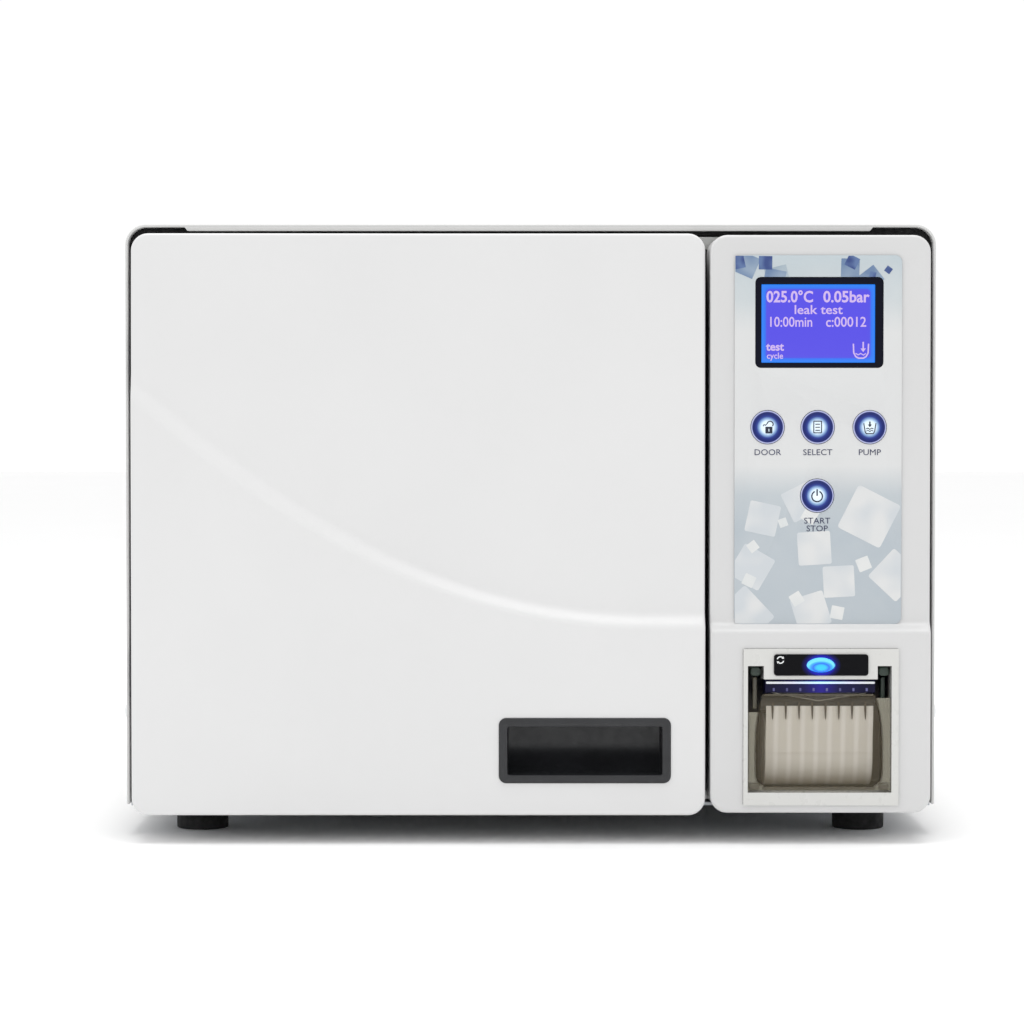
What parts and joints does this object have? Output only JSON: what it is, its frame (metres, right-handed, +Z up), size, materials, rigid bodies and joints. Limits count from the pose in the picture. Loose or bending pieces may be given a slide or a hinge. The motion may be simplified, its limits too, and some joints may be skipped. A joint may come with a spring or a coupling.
{
  "type": "benchtop autoclave",
  "caption": "White benchtop steam autoclave with a side-hinged creased door, recessed grip, keypad with display, panel printer and a tray chamber.",
  "frame": {"origin": "centre of the bounding box's footprint, on the plane the feet stand on", "axes": "+Z up, -Y out of the front, +X to the right of someone facing the front"},
  "size_m": [0.4398, 0.5, 0.3283],
  "materials": {
    "white_enamel": "fine-textured white powder coat on sheet steel",
    "screw_steel": "bright zinc domed screw",
    "zinc_steel": "zinc-plated sheet and bar",
    "black_rubber": "matt black rubber",
    "white_moulding": "satin white moulded plastic",
    "stainless": "brushed stainless steel",
    "heater_mica": "band heater",
    "insulation_wool": "mineral wool blanket",
    "tray_aluminium": "anodised aluminium sheet",
    "brass": "turned brass",
    "black_plastic": "satin black moulded plastic",
    "gasket_silicone": "silicone rubber",
    "overlay_film": "printed polyester film with a pale square pattern",
    "key_navy": "navy key with a lit white centre",
    "display_glass": "lit blue display in a black bezel",
    "circuit_board": "green circuit board",
    "label_black": "glossy black label",
    "button_blue": "lit blue feed button",
    "smoked_plastic": "smoked clear plastic",
    "paper": "white thermal paper",
    "filter_plastic": "clear blue filter housing",
    "condenser_metal": "finned condenser",
    "pump_grey": "grey painted casting",
    "tank_plastic": "translucent white tank",
    "switch_green": "green rocker"
  },
  "bodies": {
    "cabinet": {"casing_wrap": "white_enamel", "casing_screw_left": "screw_steel", "casing_screw_right": "screw_steel", "chassis_base": "zinc_steel", "foot_front_left": "black_rubber", "foot_front_right": "black_rubber", "foot_rear_left": "black_rubber", "foot_rear_right": "black_rubber", "base_screw_left": "screw_steel", "base_screw_right": "screw_steel", "front_frame": "white_moulding", "rear_panel": "white_enamel", "chamber_vessel": "stainless", "chamber_heater": "heater_mica", "chamber_insulation": "insulation_wool", "tray_rack": "stainless", "tray_lower": "tray_aluminium", "tray_middle": "tray_aluminium", "tray_upper": "tray_aluminium", "safety_valve": "brass", "steam_pipe": "stainless", "hinge_bracket_lower": "zinc_steel", "hinge_bracket_upper": "zinc_steel", "lock_motor": "black_plastic", "panel_cover": "white_moulding", "keypad_overlay": "overlay_film", "display_module": "display_glass", "control_board": "circuit_board", "printer_frame": "white_moulding", "print_head": "black_plastic", "printer_label": "label_black", "bacteria_filter": "filter_plastic", "drain_coupler_clean": "brass", "drain_coupler_used": "stainless", "drain_outlet": "brass", "condenser": "condenser_metal", "vacuum_pump": "pump_grey", "water_tank": "tank_plastic", "fan_frame": "black_plastic", "mains_inlet": "black_plastic", "power_board": "circuit_board"},
    "door": {"door_cover": "white_moulding", "door_handle_cup": "black_plastic", "door_liner": "white_moulding", "door_arm": "zinc_steel", "hinge_pin": "stainless", "door_plate": "stainless", "door_gasket": "gasket_silicone", "door_keeper": "stainless"},
    "bolt": {"lock_bolt": "stainless"},
    "door_button": {"key_door": "key_navy"},
    "select_button": {"key_select": "key_navy"},
    "pump_button": {"key_pump": "key_navy"},
    "start_button": {"key_start": "key_navy"},
    "paper_feed": {"feed_button": "button_blue"},
    "printer_lid": {"paper_cover": "smoked_plastic"},
    "platen": {"platen_roller": "black_rubber"},
    "roll": {"paper_roll": "paper"},
    "rotor": {"fan_rotor": "black_plastic"},
    "rocker": {"mains_switch": "switch_green"}
  },
  "joints": [
    {"name": "door_hinge", "type": "hinge", "parent": "cabinet", "child": "door", "pos_m": [-0.204, -0.228, 0.17], "axis": [0, 0, -1], "range_deg": [0, 110]},
    {"name": "lock_slide", "type": "slide", "parent": "cabinet", "child": "bolt", "axis": [0, 0, 1], "range_m": [0, 0.012]},
    {"name": "key_door_press", "type": "slide", "parent": "cabinet", "child": "door_button", "axis": [0, 1, 0], "range_m": [0, 0.0007], "stiffness_N_per_m": 1500},
    {"name": "key_select_press", "type": "slide", "parent": "cabinet", "child": "select_button", "axis": [0, 1, 0], "range_m": [0, 0.0007], "stiffness_N_per_m": 1500},
    {"name": "key_pump_press", "type": "slide", "parent": "cabinet", "child": "pump_button", "axis": [0, 1, 0], "range_m": [0, 0.0007], "stiffness_N_per_m": 1500},
    {"name": "key_start_press", "type": "slide", "parent": "cabinet", "child": "start_button", "axis": [0, 1, 0], "range_m": [0, 0.0007], "stiffness_N_per_m": 1500},
    {"name": "feed_press", "type": "slide", "parent": "cabinet", "child": "paper_feed", "axis": [0, 1, 0], "range_m": [0, 0.0008], "stiffness_N_per_m": 1200},
    {"name": "printer_lid_hinge", "type": "hinge", "parent": "cabinet", "child": "printer_lid", "pos_m": [0.1517, -0.2445, 0.0302], "axis": [1, 0, 0], "range_deg": [0, 80]},
    {"name": "platen_spin", "type": "hinge", "parent": "printer_lid", "child": "platen", "pos_m": [0.1517, -0.2372, 0.0735], "axis": [1, 0, 0], "continuous": true},
    {"name": "roll_spin", "type": "hinge", "parent": "cabinet", "child": "roll", "pos_m": [0.1526, -0.2185, 0.0475], "axis": [1, 0, 0], "continuous": true},
    {"name": "fan_spin", "type": "hinge", "parent": "cabinet", "child": "rotor", "pos_m": [-0.14, 0.2205, 0.12], "axis": [0, 1, 0], "continuous": true},
    {"name": "rocker_tilt", "type": "hinge", "parent": "cabinet", "child": "rocker", "pos_m": [0.15, 0.23, 0.098], "axis": [1, 0, 0], "range_deg": [0, 16]}
  ],
  "couplings": [
    {"joint": "platen_spin", "follows": "roll_spin", "ratio": 4.8}
  ]
}
